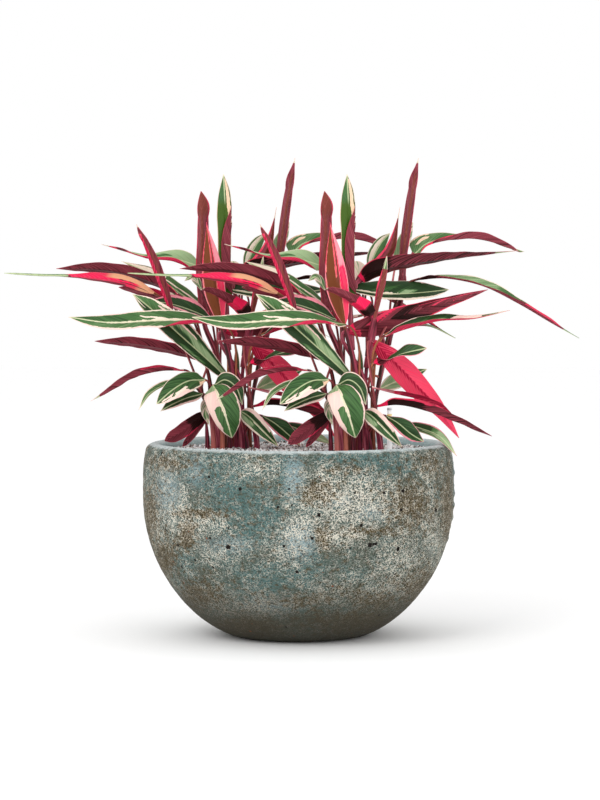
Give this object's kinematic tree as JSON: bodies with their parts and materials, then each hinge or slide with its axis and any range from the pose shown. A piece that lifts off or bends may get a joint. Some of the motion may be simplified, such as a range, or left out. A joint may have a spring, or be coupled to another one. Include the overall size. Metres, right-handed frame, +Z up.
{
  "type": "potted stromanthe",
  "caption": "Pair of tricolour stromanthe plants with long pointed leaves, growing from grit-topped soil in a broad round-bellied glazed bowl.",
  "frame": {"origin": "centre of the bowl's flat foot, on the ground", "axes": "+Z up, +X along the spread of the leaves from the left plant to the right one, -Y towards the viewer of the picture"},
  "size_m": [0.9896, 0.54, 0.8325],
  "materials": {
    "bowl_glaze": "rough weathered glaze, blue-green under a broken cream-grey crust with brown blotches and small pits",
    "potting_mix": null,
    "grit": "matt loose grains, white, pale blue and brown-grey",
    "gauge_plastic": "clear greyish plastic tube with a yellow mark",
    "leaf_green": "satin leaf, dark green with sage, cream and pink streaks above and maroon below",
    "leaf_maroon": "satin leaf underside, maroon with crimson and hot pink streaks"
  },
  "bodies": {
    "root": {"bowl": "bowl_glaze", "potting_soil": "potting_mix", "grit_top": "grit", "water_gauge": "gauge_plastic", "right_stem_01": "leaf_maroon", "right_stem_02": "leaf_green", "right_stem_03": "leaf_maroon", "right_stem_04": "leaf_green", "right_stem_05": "leaf_green", "right_stem_06": "leaf_green", "right_stem_07": "leaf_maroon", "right_stem_08": "leaf_maroon", "right_stem_09": "leaf_maroon", "right_stem_10": "leaf_maroon", "right_stem_11": "leaf_maroon", "right_stem_12": "leaf_maroon", "right_stem_13": "leaf_maroon", "right_stem_14": "leaf_green", "right_stem_15": "leaf_green", "right_stem_16": "leaf_maroon", "right_stem_17": "leaf_maroon", "right_stem_18": "leaf_green", "left_stem_01": "leaf_maroon", "left_stem_02": "leaf_green", "left_stem_03": "leaf_maroon", "left_stem_04": "leaf_green", "left_stem_05": "leaf_green", "left_stem_06": "leaf_green", "left_stem_07": "leaf_maroon", "left_stem_08": "leaf_maroon", "left_stem_09": "leaf_maroon", "left_stem_10": "leaf_maroon", "left_stem_11": "leaf_maroon", "left_stem_12": "leaf_maroon", "left_stem_13": "leaf_maroon", "left_stem_14": "leaf_green", "left_stem_15": "leaf_green", "left_stem_16": "leaf_maroon", "left_stem_17": "leaf_maroon", "left_stem_18": "leaf_green"}
  },
  "joints": []
}
